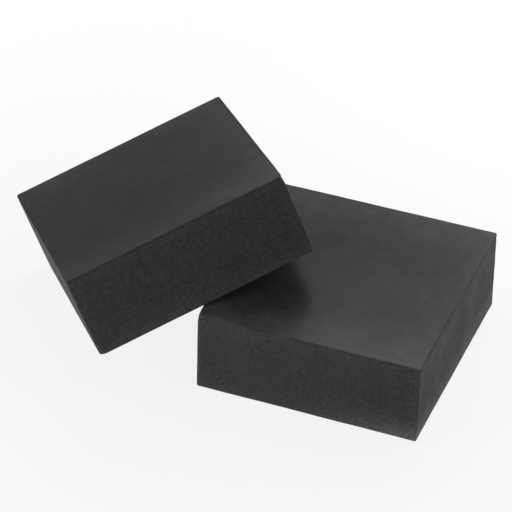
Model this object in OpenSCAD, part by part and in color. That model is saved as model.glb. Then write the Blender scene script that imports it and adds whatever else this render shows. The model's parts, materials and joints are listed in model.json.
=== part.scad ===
// A pair of square foam balance pads. One pad lies flat on the floor. The other leans on
// the flat pad's left top edge, turned in its own plane, with its lowest corner on the floor.
// Millimetres, +Z up. The origin is the middle of the flat pad's underside, +X runs along
// its front edge away from the leaning pad and +Y runs towards its back.

/* [Pad] */
// Side of the square pad
pad_side = 330; // [250:1:450]
// Height of the pad, both skins included
pad_height = 127; // [95:1:160]
// Thickness of the dense skin on each of the two large faces
skin_thickness = 3; // [1:0.5:8]

/* [Edges] */
// Radius of the four upright corner edges
corner_radius = 5; // [2:0.5:25]
// Radius of the edges round the two large faces
rim_radius = 1.2; // [0.6:0.2:8]

/* [Leaning pad] */
// Angle between the leaning pad's underside and the floor
lean_tilt = 23; // [18:0.5:32]
// Turn of the leaning pad in its own plane, from square to the edge that it rests on
lean_turn = 39.7; // [25:0.1:65]
// Distance of the leaning pad's middle from the flat pad's middle, towards the back
lean_offset = -13; // [-60:1:60]
// Clearance between the leaning pad's underside and the edge that it rests on
rest_gap = 0.3; // [0.1:0.1:1]

/* [Hidden] */
// Facets of a full turn on the rounded edges
$fn = 32;
// The rim's rounding is limited by the skin and by the corner that it runs round
rim = min(rim_radius, skin_thickness, corner_radius);
// From the pad's middle to the axis of an upright corner edge, along X and Y
corner_axis = pad_side / 2 - corner_radius;
// Height of the core between the two skins
core_height = pad_height - 2 * skin_thickness;
// Height of the leaning pad's underside middle, with its lowest corner just on the floor
lowest_corner = corner_axis * (cos(lean_turn) + sin(lean_turn)) + corner_radius - rim;
lean_z = lowest_corner * sin(lean_tilt) + rim * (1 - cos(lean_tilt));
// Its place along X, with its underside clear of the flat pad's rounded edge by the gap
edge_x = rim - pad_side / 2;
edge_z = pad_height - rim;
lean_x = edge_x + ((lean_z - edge_z) * cos(lean_tilt) - rim - rest_gap) / sin(lean_tilt);

CUT_FOAM = [0.21, 0.21, 0.21];
FOAM_SKIN = [0.27, 0.27, 0.27];

// A square slab whose border has the section that is drawn as its child: the section starts
// at the inner square's edge, runs straight along each side and turns round each corner
module bordered_slab(height) {
    translate([-corner_axis, -corner_axis, 0])
        cube([2 * corner_axis, 2 * corner_axis, height]);
    for (turn = [0 : 90 : 270])
        rotate([0, 0, turn])
            translate([corner_axis, corner_axis, 0]) {
                rotate([90, 0, 0]) linear_extrude(2 * corner_axis) children();
                rotate_extrude(angle = 90) children();
            }
}

// Border of a skin, square at the foam and rounded at the outer rim
module rim_section() {
    difference() {
        square([corner_radius, skin_thickness]);
        translate([corner_radius - rim, skin_thickness - rim])
            difference() {
                square(2 * rim);
                circle(rim);
            }
    }
}

// A skin lying with its foam side on z = 0 and its rounded rim upwards
module skin() {
    bordered_slab(skin_thickness) rim_section();
}

// The cut block between the skins, in a pad whose underside is at z = 0
module core() {
    translate([0, 0, skin_thickness])
        bordered_slab(core_height) square([corner_radius, core_height]);
}

module upper_skin() {
    translate([0, 0, pad_height - skin_thickness]) skin();
}

module lower_skin() {
    translate([0, 0, skin_thickness]) mirror([0, 0, 1]) skin();
}

// Puts a pad that is drawn flat at the origin where it leans
module leaning() {
    translate([lean_x, lean_offset, lean_z])
        rotate([0, -lean_tilt, 0])
            rotate([0, 0, lean_turn])
                children();
}

module flat_pad_core() { color(CUT_FOAM) core(); }
module flat_pad_upper_skin() { color(FOAM_SKIN) upper_skin(); }
module flat_pad_lower_skin() { color(FOAM_SKIN) lower_skin(); }
module leaning_pad_core() { color(CUT_FOAM) leaning() core(); }
module leaning_pad_upper_skin() { color(FOAM_SKIN) leaning() upper_skin(); }
module leaning_pad_lower_skin() { color(FOAM_SKIN) leaning() lower_skin(); }

flat_pad_core();
flat_pad_upper_skin();
flat_pad_lower_skin();
leaning_pad_core();
leaning_pad_upper_skin();
leaning_pad_lower_skin();
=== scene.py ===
import json
from math import atan2, exp, pi, radians

import bmesh
import bpy
from mathutils import Matrix, Vector, noise


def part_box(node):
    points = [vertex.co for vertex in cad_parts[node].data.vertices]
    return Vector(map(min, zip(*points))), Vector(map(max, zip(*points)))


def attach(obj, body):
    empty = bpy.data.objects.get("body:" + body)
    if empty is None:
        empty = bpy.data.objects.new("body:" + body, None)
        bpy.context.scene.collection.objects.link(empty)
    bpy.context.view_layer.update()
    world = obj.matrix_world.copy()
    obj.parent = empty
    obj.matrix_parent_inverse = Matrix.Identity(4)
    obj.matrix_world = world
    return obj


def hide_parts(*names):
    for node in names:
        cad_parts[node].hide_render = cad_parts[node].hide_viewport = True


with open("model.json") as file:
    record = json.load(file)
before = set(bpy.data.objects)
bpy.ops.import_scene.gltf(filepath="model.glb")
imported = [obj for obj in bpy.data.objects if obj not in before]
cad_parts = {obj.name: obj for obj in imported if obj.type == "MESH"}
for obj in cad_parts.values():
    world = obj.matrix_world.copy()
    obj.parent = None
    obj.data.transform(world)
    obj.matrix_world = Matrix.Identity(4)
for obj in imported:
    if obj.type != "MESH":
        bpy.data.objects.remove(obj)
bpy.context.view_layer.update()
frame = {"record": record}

# Foam cores: two square blocks of charcoal closed-cell foam, cut from a larger bun with a
# band knife. The knife leaves the cells open on the four upright sides, and the soft foam
# draws back a little below the stiffer upper skin, which leaves a thin shadow line there.
core_low, core_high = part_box("flat_pad_core")
skin_low, skin_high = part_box("flat_pad_upper_skin")
PAD_SIDE = core_high.x - core_low.x
HALF_SIDE = PAD_SIDE / 2
PAD_HEIGHT = skin_high.z
SKIN_THICKNESS = skin_high.z - skin_low.z
CORE_HEIGHT = PAD_HEIGHT - 2 * SKIN_THICKNESS
WELD_DISTANCE = 0.00001

# A pad is drawn flat, with the middle of its underside at the origin, and then set in place
LEAN_TURN = radians(39.7)
sloping_face = next(m for m in frame["record"]["mounts"] if m["name"] == "leaning_standing_face")
face_normal = Vector(sloping_face["axis"])
face_middle = Vector(sloping_face["pos_m"])
lean_tilt = atan2(-face_normal.x, face_normal.z)
PLACES = {
    "flat_pad": Matrix.Identity(4),
    "leaning_pad": Matrix.Translation(face_middle - PAD_HEIGHT * face_normal)
    @ Matrix.Rotation(-lean_tilt, 4, "Y")
    @ Matrix.Rotation(LEAN_TURN, 4, "Z"),
}
# The two pads take their grain from different places in the bun
BUN_PLACES = {"flat_pad": Vector((0, 0, 0)), "leaning_pad": Vector((1.3, 0.4, 0.2))}


def add_node(material, kind, operation=None, **inputs):
    """A shader node with the given input values, linked where the value is another node's output."""
    node = material.node_tree.nodes.new(kind)
    if operation:
        node.operation = operation
    for name, value in inputs.items():
        socket = node.inputs[name.replace("_", " ")]
        if isinstance(value, bpy.types.NodeSocket):
            material.node_tree.links.new(value, socket)
        else:
            socket.default_value = value
    return node


def tone(material, value, low, high, least=0.0, most=1.0, ease="SMOOTHSTEP"):
    """A change from low to high as the value goes from least to most."""
    node = add_node(material, "ShaderNodeMapRange", Value=value,
                    From_Min=least, From_Max=most, To_Min=low, To_Max=high)
    node.interpolation_type = ease
    return node.outputs["Result"]


def product(material, first, *others):
    """The values multiplied together."""
    for other in others:
        node = add_node(material, "ShaderNodeMath", "MULTIPLY")
        material.node_tree.links.new(first, node.inputs[0])
        material.node_tree.links.new(other, node.inputs[1])
        first = node.outputs["Value"]
    return first


def tinted(material, colour, brightness):
    """The colour, scaled by a brightness that varies over the surface."""
    node = add_node(material, "ShaderNodeVectorMath", "SCALE", Scale=brightness)
    node.inputs[0].default_value = colour
    return node.outputs["Vector"]


def painted_value(material, name):
    """The outputs of a value that is stored on the piece's own points."""
    node = add_node(material, "ShaderNodeAttribute")
    node.attribute_name = name
    return node.outputs


def open_cell_foam():
    """Matte charcoal foam with its cells cut open and faint lines from the knife."""
    material = bpy.data.materials.new("open_cell_foam")
    material.use_nodes = True
    links = material.node_tree.links
    shader = material.node_tree.nodes["Principled BSDF"]
    spot = painted_value(material, "bun_place")["Vector"]
    to_edge = painted_value(material, "edge_distance")["Fac"]
    bounce_light = painted_value(material, "bounce_light")["Fac"]
    crease_shade = painted_value(material, "crease_shade")["Fac"]
    cells = add_node(material, "ShaderNodeTexVoronoi", Vector=spot, Scale=320.0)
    small_cells = add_node(material, "ShaderNodeTexVoronoi", Vector=spot, Scale=700.0)
    patches = add_node(material, "ShaderNodeTexNoise", Vector=spot, Scale=28.0, Detail=3.0)
    along_knife = add_node(material, "ShaderNodeMapping", Vector=spot, Scale=(9.0, 9.0, 260.0))
    knife = add_node(material, "ShaderNodeTexNoise", Vector=along_knife.outputs["Vector"],
                     Scale=1.0, Detail=2.0)
    brightness = product(
        material,
        tone(material, cells.outputs["Color"], 0.78, 1.22),
        tone(material, small_cells.outputs["Color"], 0.68, 1.32),
        tone(material, patches.outputs["Fac"], 0.93, 1.07, 0.3, 0.7),
        tone(material, knife.outputs["Fac"], 0.96, 1.04, 0.3, 0.7),
        tone(material, to_edge, 1.22, 1.0, 0.0, 0.022),
        # Painted light from the floor, lighter at the lower edges
        tone(material, bounce_light, 1.0, 3.0, ease="LINEAR"),
        # Painted shade in the crease just below the rim
        tone(material, crease_shade, 1.0, 0.1, ease="LINEAR"))
    links.new(tinted(material, (0.0398, 0.0398, 0.0398), brightness), shader.inputs["Base Color"])
    links.new(tone(material, patches.outputs["Fac"], 0.64, 0.78, 0.3, 0.7), shader.inputs["Roughness"])
    pits = add_node(material, "ShaderNodeBump", Strength=0.55, Distance=0.0007,
                    Height=cells.outputs["Distance"])
    small_pits = add_node(material, "ShaderNodeBump", Strength=0.5, Distance=0.0003,
                          Height=small_cells.outputs["Distance"], Normal=pits.outputs["Normal"])
    links.new(small_pits.outputs["Normal"], shader.inputs["Normal"])
    shader.inputs["Specular IOR Level"].default_value = 0.29
    return material


def ripple(spot, length, low=0.0, high=1.0):
    """A smooth random height from low to high, whose waves are about this long."""
    return low + (high - low) * (1 + noise.noise(spot / length)) / 2


def near(distance, reach):
    """1 at no distance, falling smoothly to almost 0 at twice the reach."""
    return exp(-((distance / reach) ** 2))


# The upright edges are rounded a little, and some are crisper. An edge is named by its sides
# along X and Y.
CORNER_RADIUS = 0.005
CRISP_RADIUS = 0.002
CORNER_RADII = {
    "flat_pad": {(1, -1): CRISP_RADIUS},
    "leaning_pad": {(-1, -1): CRISP_RADIUS, (1, -1): CRISP_RADIUS},
}


def rounded_block(height, body):
    """A square block on z = 0 with its four upright edges rounded."""
    bm = bmesh.new()
    bmesh.ops.create_cube(bm, size=1.0)
    bmesh.ops.scale(bm, vec=(PAD_SIDE, PAD_SIDE, height), verts=bm.verts)
    bmesh.ops.translate(bm, vec=(0, 0, height / 2), verts=bm.verts)
    for side_x, side_y in ((1, 1), (-1, 1), (-1, -1), (1, -1)):
        corner = Vector((side_x, side_y, 0)) * HALF_SIDE
        upright = [e for e in bm.edges
                   if all((v.co - corner).xy.length < WELD_DISTANCE for v in e.verts)]
        radius = CORNER_RADII[body].get((side_x, side_y), CORNER_RADIUS)
        bmesh.ops.bevel(bm, geom=upright, offset=radius, segments=6, profile=0.5,
                        affect="EDGES", material=-1)
    return bm


# The upper front left corner of the flat pad, beside the leaning pad, has been pressed round:
# the largest radius of the front and of the left top edge, and how far along each it reaches
PRESSED_FRONT = {"flat_pad": 0.014, "leaning_pad": 0.0}
PRESSED_LEFT = {"flat_pad": 0.004, "leaning_pad": 0.0}
PRESSED_ALONG_FRONT = 0.07
PRESSED_ALONG_LEFT = 0.035


def pressing(body, to_left, to_front):
    """The radius to which the left and the front top edge are pressed round at this place."""
    along_left = PRESSED_LEFT[body] * near(to_front, PRESSED_ALONG_LEFT)
    along_front = PRESSED_FRONT[body] * near(to_left, PRESSED_ALONG_FRONT)
    return along_left, along_front


# The sides have shallow waves, cups where the knife opened the larger cells, and a lip below
# the upper skin, which fades out where the edge is pressed round
CORE_GRID = 0.0015
CELL_SIZE = 0.0040
CELL_DEPTH = 0.0004
CELL_SLOPE = 1.5
CELL_DEPTH_WAVE_LENGTH = 0.37
SIDE_WAVE = 0.0004
SIDE_WAVE_LENGTH = 0.05
LIP_DEPTH = 0.0011
LIP_HEIGHT = 0.0026
LIP_WAVE_LENGTH = 0.018


def open_cells(spot):
    """Depth of the cut cells at a spot on a side. Each cell is a cup of its own depth."""
    distances, middles = noise.voronoi(spot / CELL_SIZE)
    cup = max(0.0, 1.0 - CELL_SLOPE * distances[0])
    return CELL_DEPTH * cup * ripple(middles[0], CELL_DEPTH_WAVE_LENGTH, 0.5, 1.5)


def cut_core(body):
    """The core's mesh, with its sides divided finely enough to hold the cut cells."""
    bm = rounded_block(CORE_HEIGHT, body)
    level_edges = [e for e in bm.edges if abs(e.verts[0].co.z - e.verts[1].co.z) < CORE_GRID]
    long_edges = [e for e in level_edges if e.calc_length() > HALF_SIDE]
    bmesh.ops.subdivide_edges(bm, edges=long_edges, cuts=round(PAD_SIDE / CORE_GRID),
                              use_grid_fill=True)
    upright_edges = [e for e in bm.edges
                     if abs(e.verts[0].co.z - e.verts[1].co.z) > CORE_HEIGHT / 2]
    bmesh.ops.subdivide_edges(bm, edges=upright_edges, cuts=round(CORE_HEIGHT / CORE_GRID),
                              use_grid_fill=True)
    bm.normal_update()
    for vert in bm.verts:
        outward = Vector((vert.normal.x, vert.normal.y, 0)).normalized()
        spot = vert.co + BUN_PLACES[body]
        pressed = max(pressing(body, vert.co.x + HALF_SIDE, vert.co.y + HALF_SIDE))
        lip = LIP_DEPTH * ripple(spot, LIP_WAVE_LENGTH, 0.5, 1.5) * exp(-pressed / LIP_HEIGHT)
        lip *= near(CORE_HEIGHT - vert.co.z, LIP_HEIGHT)
        wave = SIDE_WAVE * ripple(spot, SIDE_WAVE_LENGTH)
        vert.co -= outward * (lip + wave + open_cells(spot))
    bmesh.ops.translate(bm, vec=(0, 0, SKIN_THICKNESS), verts=bm.verts)
    return bm


# Corners that knocks have rounded, seen from above, and how far a knock reaches up or down. A
# corner is named by its sides along X and Y and by whether it is an upper one.
KNOCKED = {
    "flat_pad": {},
    "leaning_pad": {(-1, -1, False): 0.010, (1, -1, False): 0.007, (1, -1, True): 0.009},
}
KNOCK_REACH = 0.012
# The knife ran out of square: how far these corners lie from true, along X and Y
OUT_OF_SQUARE = {
    "flat_pad": {
        (1, -1, False): (-0.0048, 0.0),
        (1, -1, True): (-0.0026, 0.0022),
        (1, 1, True): (0.0, 0.0015),
        (-1, -1, False): (-0.0008, 0.0),
        (-1, -1, True): (0.0020, 0.0),
    },
    "leaning_pad": {(1, 1, True): (-0.0013, 0.0)},
}


def rounded_off(across, down, radius):
    """A point by a square edge, moved to where it lies once the edge is rounded.

    It is given, and returned, as its depths under the two faces that meet at the edge."""
    if max(across, down) >= radius:
        return across, down
    inner = Vector((radius - across, radius - down))
    inner *= max(inner) / inner.length
    return radius - inner.x, radius - inner.y


def as_cut(body, spot):
    """A point of a true square pad, moved to where it lies on the pad as it was cut and used."""
    x, y, z = spot
    for (side_x, side_y, upper), radius in KNOCKED[body].items():
        to_end = PAD_HEIGHT - z if upper else z
        across, along = rounded_off(HALF_SIDE - side_x * x, HALF_SIDE - side_y * y,
                                    radius * near(to_end, KNOCK_REACH))
        x, y = side_x * (HALF_SIDE - across), side_y * (HALF_SIDE - along)
    to_left, to_front, to_top = x + HALF_SIDE, y + HALF_SIDE, PAD_HEIGHT - z
    pressed_left, pressed_front = pressing(body, to_left, to_front)
    to_left, to_top = rounded_off(to_left, to_top, pressed_left)
    to_front, to_top = rounded_off(to_front, to_top, pressed_front)
    place = Vector((to_left - HALF_SIDE, to_front - HALF_SIDE, PAD_HEIGHT - to_top))
    height = z / PAD_HEIGHT
    for (side_x, side_y, upper), (off_x, off_y) in OUT_OF_SQUARE[body].items():
        share = (0.5 + side_x * x / PAD_SIDE) * (0.5 + side_y * y / PAD_SIDE)
        share *= height if upper else 1 - height
        place += share * Vector((off_x, off_y, 0))
    return place


# Painted light from the floor: the lower edges are painted lighter all along, and those of the flat
# pad much more towards its right side, and most at its front right corner
BOUNCE_LIGHT = {"flat_pad": 0.08, "leaning_pad": 0.15}
BOUNCE_LIGHT_BY_RIGHT = {"flat_pad": 0.48, "leaning_pad": 0.0}
BOUNCE_LIGHT_BY_CORNER = {"flat_pad": 0.6, "leaning_pad": 0.0}
BOUNCE_LIGHT_HEIGHT = 0.025
BOUNCE_LIGHT_ALONG_FRONT = 0.1
BOUNCE_LIGHT_ALONG_RIGHT = 0.05
BOUNCE_LIGHT_WAVE_LENGTH = 0.02
# A painted shade line lies in the crease just below the rim of each upper face, darker towards the
# front, and fades out where the edge is pressed round
CREASE_SHADE = {"flat_pad": 1.2, "leaning_pad": 0.4}
CREASE_SHADE_BY_FRONT = {"flat_pad": 0.9, "leaning_pad": 0.3}
CREASE_FRONT_REACH = 0.05
CREASE_DEPTH = 0.0016
CREASE_WIDTH = 0.0019
CREASE_WAVE_LENGTH = 0.03
CREASE_SHADE_FADE = 0.0038


def to_edges(spot):
    """How far a point lies from each side of a pad."""
    return {"left": HALF_SIDE + spot.x, "right": HALF_SIDE - spot.x,
            "front": HALF_SIDE + spot.y, "back": HALF_SIDE - spot.y}


def painted_bounce_light(body, spot):
    """How much the painted light from the floor lightens a point."""
    edge = to_edges(spot)
    by_right = near(edge["right"], BOUNCE_LIGHT_ALONG_FRONT)
    by_corner = by_right * near(edge["front"], BOUNCE_LIGHT_ALONG_RIGHT)
    most = BOUNCE_LIGHT[body] + BOUNCE_LIGHT_BY_RIGHT[body] * by_right + BOUNCE_LIGHT_BY_CORNER[body] * by_corner
    patchy = ripple(spot + BUN_PLACES[body], BOUNCE_LIGHT_WAVE_LENGTH, 0.6, 1.4)
    return most * near(spot.z, BOUNCE_LIGHT_HEIGHT) * patchy


def painted_crease_shade(body, spot):
    """How dark the painted shade in the crease makes a point."""
    edge = to_edges(spot)
    most = CREASE_SHADE[body] + CREASE_SHADE_BY_FRONT[body] * near(edge["front"], CREASE_FRONT_REACH)
    line = near(PAD_HEIGHT - spot.z - CREASE_DEPTH, CREASE_WIDTH)
    line *= near(min(edge.values()), CREASE_WIDTH)
    kept = exp(-max(pressing(body, edge["left"], edge["front"])) / CREASE_SHADE_FADE)
    return most * line * kept * ripple(spot + BUN_PLACES[body], CREASE_WAVE_LENGTH)


SHARP_EDGE_ANGLE = radians(50)


def finished_piece(name, bm, material, body, painted_shading):
    """The piece's object, from a mesh that is drawn in place on a pad lying flat.

    Its points store what the material reads: their place in the bun, how far they lie from an edge of
    the pad, and how much of each kind of painted light and shade they have."""
    bmesh.ops.recalc_face_normals(bm, faces=bm.faces)
    bun_place = bm.verts.layers.float_vector.new("bun_place")
    edge_distance = bm.verts.layers.float.new("edge_distance")
    for kind in painted_shading:
        bm.verts.layers.float.new(kind)
    for vert in bm.verts:
        x, y, z = vert.co
        to_faces = sorted((HALF_SIDE - abs(x), HALF_SIDE - abs(y), min(z, PAD_HEIGHT - z)))
        vert[edge_distance] = to_faces[1]
        vert[bun_place] = vert.co + BUN_PLACES[body]
        for kind, amount in painted_shading.items():
            vert[bm.verts.layers.float[kind]] = amount(body, vert.co)
        vert.co = as_cut(body, vert.co)
    for face in bm.faces:
        face.smooth = True
    bmesh.ops.transform(bm, matrix=PLACES[body], verts=bm.verts)
    mesh = bpy.data.meshes.new(name)
    bm.to_mesh(mesh)
    bm.free()
    mesh.set_sharp_from_angle(angle=SHARP_EDGE_ANGLE)
    mesh.materials.append(material)
    piece = bpy.data.objects.new(name, mesh)
    bpy.context.collection.objects.link(piece)
    return piece


foam = open_cell_foam()
foam_painted_shading = {"bounce_light": painted_bounce_light, "crease_shade": painted_crease_shade}
for body in PLACES:
    core = finished_piece(f"{body}_foam_core", cut_core(body), foam, body, foam_painted_shading)
    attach(core, body)
    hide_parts(f"{body}_core")

# Foam skins: the dense layer that grows where the foam meets the mould, on the two large
# faces of each pad. It is smooth and satin, one with the foam below it, and rolls off a
# little towards the rim, where the knife has pulled the foam.
UPPER_RIM_RADIUS = 0.0012
LOWER_RIM_RADIUS = 0.0008
SKIN_GRID = 0.0034
RIM_INSETS = (0.0017, 0.0051)
# The flat pad's lower skin is pressed level by the floor, so it has no roll-off
UPPER_ROLL_OFF = {"flat_pad": 0.0005, "leaning_pad": 0.0005}
LOWER_ROLL_OFF = {"flat_pad": 0.0, "leaning_pad": 0.0005}
ROLL_OFF_REACH = 0.016
SKIN_WAVE = 0.0006
SKIN_WAVE_LENGTH = 0.09
RIM_WAVE = 0.0006
RIM_WAVE_LENGTH = 0.022
RIM_WAVE_REACH = 0.004
# Painted sheen lightens the large faces towards their edges, by this much at each edge
EDGE_SHEEN = {
    "flat_pad": {"front": 1.2, "back": 0.9, "right": 0.38, "left": 0.3},
    "leaning_pad": {"front": 0.85, "back": 0.3, "right": 0.4, "left": 0.1},
}
EDGE_SHEEN_REACH = 0.055


def painted_edge_sheen(body, spot):
    """How much the painted sheen lightens a point."""
    edge = to_edges(spot)
    return sum(most * near(edge[side], EDGE_SHEEN_REACH) for side, most in EDGE_SHEEN[body].items())


def moulded_skin():
    """Satin charcoal skin with a faint mottle, and a painted sheen that lightens it towards its rim.
    """
    material = bpy.data.materials.new("moulded_skin")
    material.use_nodes = True
    links = material.node_tree.links
    shader = material.node_tree.nodes["Principled BSDF"]
    spot = painted_value(material, "bun_place")["Vector"]
    to_edge = painted_value(material, "edge_distance")["Fac"]
    bounce_light = painted_value(material, "bounce_light")["Fac"]
    edge_sheen = painted_value(material, "edge_sheen")["Fac"]
    crease_shade = painted_value(material, "crease_shade")["Fac"]
    clouds = add_node(material, "ShaderNodeTexNoise", Vector=spot, Scale=10.0, Detail=3.0)
    mottle = add_node(material, "ShaderNodeTexNoise", Vector=spot, Scale=50.0, Detail=3.0)
    cells = add_node(material, "ShaderNodeTexVoronoi", Vector=spot, Scale=280.0)
    grain = add_node(material, "ShaderNodeTexNoise", Vector=spot, Scale=900.0, Detail=2.0)
    brightness = product(
        material,
        tone(material, clouds.outputs["Fac"], 0.90, 1.10, 0.3, 0.7),
        tone(material, mottle.outputs["Fac"], 0.84, 1.16, 0.3, 0.7),
        tone(material, cells.outputs["Color"], 0.90, 1.10),
        # Painted light from the floor, lighter at the lower edges
        tone(material, bounce_light, 1.0, 3.0, ease="LINEAR"),
        # Painted sheen, lighter towards the rim
        tone(material, edge_sheen, 1.0, 3.0, 0.0, 2.0, ease="LINEAR"),
        # Painted shade in the crease just below the rim
        tone(material, crease_shade, 1.0, 0.1, ease="LINEAR"))
    links.new(tinted(material, (0.0229, 0.0229, 0.0229), brightness), shader.inputs["Base Color"])
    roughness = product(
        material,
        tone(material, clouds.outputs["Fac"], 0.31, 0.36, 0.3, 0.7),
        tone(material, to_edge, 1.9, 1.0, 0.0, 0.006))
    links.new(roughness, shader.inputs["Roughness"])
    dimples = add_node(material, "ShaderNodeBump", Strength=0.05, Distance=0.0006,
                       Height=cells.outputs["Distance"])
    fine_grain = add_node(material, "ShaderNodeBump", Strength=0.12, Distance=0.0003,
                          Height=grain.outputs["Fac"], Normal=dimples.outputs["Normal"])
    links.new(fine_grain.outputs["Normal"], shader.inputs["Normal"])
    shader.inputs["Specular IOR Level"].default_value = 0.304
    return material


def skin_sheet(body, rim_radius, roll_off):
    """A skin's mesh, with its foam side on z = 0 and its rounded rim upwards."""
    bm = rounded_block(SKIN_THICKNESS, body)
    rim = [e for e in bm.edges if all(v.co.z > SKIN_THICKNESS / 2 for v in e.verts)]
    bmesh.ops.bevel(bm, geom=rim, offset=rim_radius, segments=4, profile=0.5,
                    affect="EDGES", material=-1)
    lines = round(PAD_SIDE / SKIN_GRID)
    cuts = [(line / lines - 0.5) * PAD_SIDE for line in range(1, lines)]
    cuts += [side * (HALF_SIDE - inset) for side in (-1, 1) for inset in RIM_INSETS]
    for axis in (Vector((1, 0, 0)), Vector((0, 1, 0))):
        for cut in cuts:
            bmesh.ops.bisect_plane(bm, geom=bm.verts[:] + bm.edges[:] + bm.faces[:],
                                   plane_co=axis * cut, plane_no=axis)
    bmesh.ops.remove_doubles(bm, verts=bm.verts, dist=WELD_DISTANCE)
    for vert in bm.verts:
        spot = vert.co + BUN_PLACES[body]
        to_side_x = HALF_SIDE - abs(vert.co.x)
        to_side_y = HALF_SIDE - abs(vert.co.y)
        if vert.co.z > SKIN_THICKNESS / 2:
            vert.co.z -= roll_off * exp(-min(to_side_x, to_side_y) / ROLL_OFF_REACH)
            vert.co.z -= SKIN_WAVE * ripple(spot, SKIN_WAVE_LENGTH)
        pull = RIM_WAVE * ripple(spot, RIM_WAVE_LENGTH)
        vert.co.x *= 1 - pull * exp(-to_side_x / RIM_WAVE_REACH) / HALF_SIDE
        vert.co.y *= 1 - pull * exp(-to_side_y / RIM_WAVE_REACH) / HALF_SIDE
    return bm


skin = moulded_skin()
skin_painted_shading = {"bounce_light": painted_bounce_light, "edge_sheen": painted_edge_sheen, "crease_shade": painted_crease_shade}
for body in PLACES:
    upper_sheet = skin_sheet(body, UPPER_RIM_RADIUS, UPPER_ROLL_OFF[body])
    bmesh.ops.translate(upper_sheet, vec=(0, 0, PAD_HEIGHT - SKIN_THICKNESS), verts=upper_sheet.verts)
    upper = finished_piece(f"{body}_upper_foam_skin", upper_sheet, skin, body, skin_painted_shading)
    lower_sheet = skin_sheet(body, LOWER_RIM_RADIUS, LOWER_ROLL_OFF[body])
    bmesh.ops.scale(lower_sheet, vec=(1, 1, -1), verts=lower_sheet.verts)
    bmesh.ops.translate(lower_sheet, vec=(0, 0, SKIN_THICKNESS), verts=lower_sheet.verts)
    lower = finished_piece(f"{body}_lower_foam_skin", lower_sheet, skin, body, skin_painted_shading)
    for piece, node in ((upper, f"{body}_upper_skin"), (lower, f"{body}_lower_skin")):
        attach(piece, body)
        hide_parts(node)

# Floor: a wide, plain white sheet under the pads. It is lit like any surface and throws light
# back onto their sides. Seen straight or in a reflection it is mostly plain white: it keeps a
# faint shadow near the pads and has none further off.
FLOOR_HALF = 20.0
# A point near the middle of the pair, which the lamps and the camera look at too
PAIR_MIDDLE = Vector((-0.1477, 0.0211, 0.1))
# The share of plain white near the pads, how far the shadow keeps its full strength from that
# point, and where it has faded out
PLAIN_WHITE_SHARE = 0.85
SHADOW_REACH = 0.35
ALL_WHITE_FROM = 0.9


def white_floor():
    """Matt white, mixed with plain white where the floor is seen straight or in a reflection."""
    material = bpy.data.materials.new("white_floor")
    material.use_nodes = True
    links = material.node_tree.links
    shader = material.node_tree.nodes["Principled BSDF"]
    shader.inputs["Base Color"].default_value = (0.9, 0.9, 0.9, 1)
    shader.inputs["Roughness"].default_value = 0.9
    shader.inputs["Specular IOR Level"].default_value = 0.1
    plain_white = add_node(material, "ShaderNodeEmission", Strength=1.0)
    ray = add_node(material, "ShaderNodeLightPath").outputs
    seen = ray["Is Camera Ray"]
    for reflected in (ray["Is Glossy Ray"], ray["Is Transmission Ray"]):
        either = add_node(material, "ShaderNodeMath", "MAXIMUM")
        links.new(seen, either.inputs[0])
        links.new(reflected, either.inputs[1])
        seen = either.outputs["Value"]
    from_pads = add_node(material, "ShaderNodeVectorMath", "DISTANCE")
    links.new(add_node(material, "ShaderNodeTexCoord").outputs["Object"], from_pads.inputs[0])
    from_pads.inputs[1].default_value = PAIR_MIDDLE
    white_share = tone(material, from_pads.outputs["Value"], PLAIN_WHITE_SHARE, 1.0,
                       SHADOW_REACH, ALL_WHITE_FROM)
    mixed = add_node(material, "ShaderNodeMixShader", Fac=product(material, seen, white_share))
    links.new(shader.outputs["BSDF"], mixed.inputs[1])
    links.new(plain_white.outputs["Emission"], mixed.inputs[2])
    links.new(mixed.outputs["Shader"], material.node_tree.nodes["Material Output"].inputs["Surface"])
    return material


bm = bmesh.new()
bmesh.ops.create_grid(bm, x_segments=1, y_segments=1, size=FLOOR_HALF)
floor_mesh = bpy.data.meshes.new("floor")
bm.to_mesh(floor_mesh)
bm.free()
floor_mesh.materials.append(white_floor())
floor = bpy.data.objects.new("floor", floor_mesh)
bpy.context.collection.objects.link(floor)

# Light: soft boxes round the pads and a dim white surround. The front left and the right box
# light the sides, and the three boxes at the back give the large faces their sheen.
LAMP_DISTANCE = 1.3
SURROUND_BRIGHTNESS = 0.192


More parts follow.
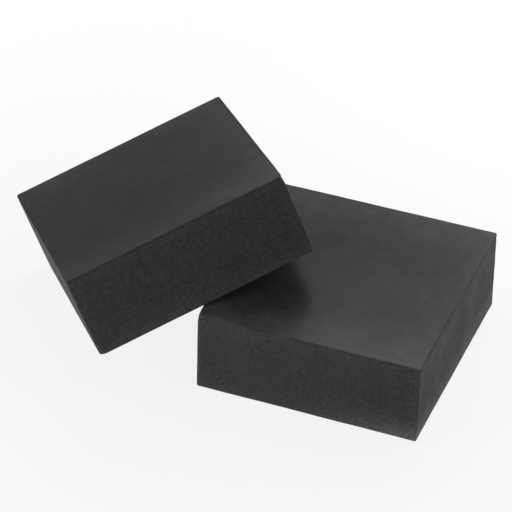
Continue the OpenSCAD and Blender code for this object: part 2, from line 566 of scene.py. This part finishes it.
def soft_box(name, azimuth, elevation, width, height, brightness):
    """A lamp that looks at the pads. Azimuth 0 is in front of them and 90 on their right."""
    lamp = bpy.data.lights.new(name, "AREA")
    lamp.shape = "RECTANGLE"
    lamp.size = width
    lamp.size_y = height
    lamp.energy = brightness * pi * width * height
    light = bpy.data.objects.new(name, lamp)
    light.visible_camera = False
    light.matrix_world = (
        Matrix.Translation(PAIR_MIDDLE)
        @ Matrix.Rotation(radians(azimuth), 4, "Z")
        @ Matrix.Rotation(radians(90 - elevation), 4, "X")
        @ Matrix.Translation((0, 0, LAMP_DISTANCE)))
    bpy.context.collection.objects.link(light)


soft_box("front_left_box", azimuth=320, elevation=13, width=0.9, height=0.7, brightness=3.36)
soft_box("right_box", azimuth=98, elevation=45, width=1.0, height=1.0, brightness=1.14)
soft_box("low_back_box", azimuth=165, elevation=8, width=0.5, height=0.5, brightness=15.2)
soft_box("back_sheet", azimuth=190, elevation=33.5, width=1.45, height=0.9, brightness=0.445)
soft_box("upper_back_box", azimuth=202.5, elevation=59, width=1.4, height=0.5, brightness=1.82)

world = bpy.data.worlds.new("white_surround")
bpy.context.scene.world = world
world.use_nodes = True
surround = world.node_tree.nodes["Background"]
surround.inputs["Color"].default_value = (1, 1, 1, 1)
surround.inputs["Strength"].default_value = SURROUND_BRIGHTNESS

# Camera: a long lens above and to the right of the pads' front.
CAMERA_LENS = 225.6
CAMERA_AZIMUTH = 21.06
CAMERA_ELEVATION = 38.02
CAMERA_ROLL = 0.36
CAMERA_DISTANCE = 4.5627
CAMERA_REACH = 50.0
camera_data = bpy.data.cameras.new("camera")
camera_data.lens = CAMERA_LENS
camera_data.clip_end = CAMERA_REACH
camera = bpy.data.objects.new("camera", camera_data)
camera.matrix_world = (
    Matrix.Translation(PAIR_MIDDLE)
    @ Matrix.Rotation(radians(CAMERA_AZIMUTH), 4, "Z")
    @ Matrix.Rotation(radians(90 - CAMERA_ELEVATION), 4, "X")
    @ Matrix.Rotation(radians(CAMERA_ROLL), 4, "Z")
    @ Matrix.Translation((0, 0, CAMERA_DISTANCE)))
bpy.context.collection.objects.link(camera)
bpy.context.scene.camera = camera
bpy.context.scene.view_settings.view_transform = "Standard"
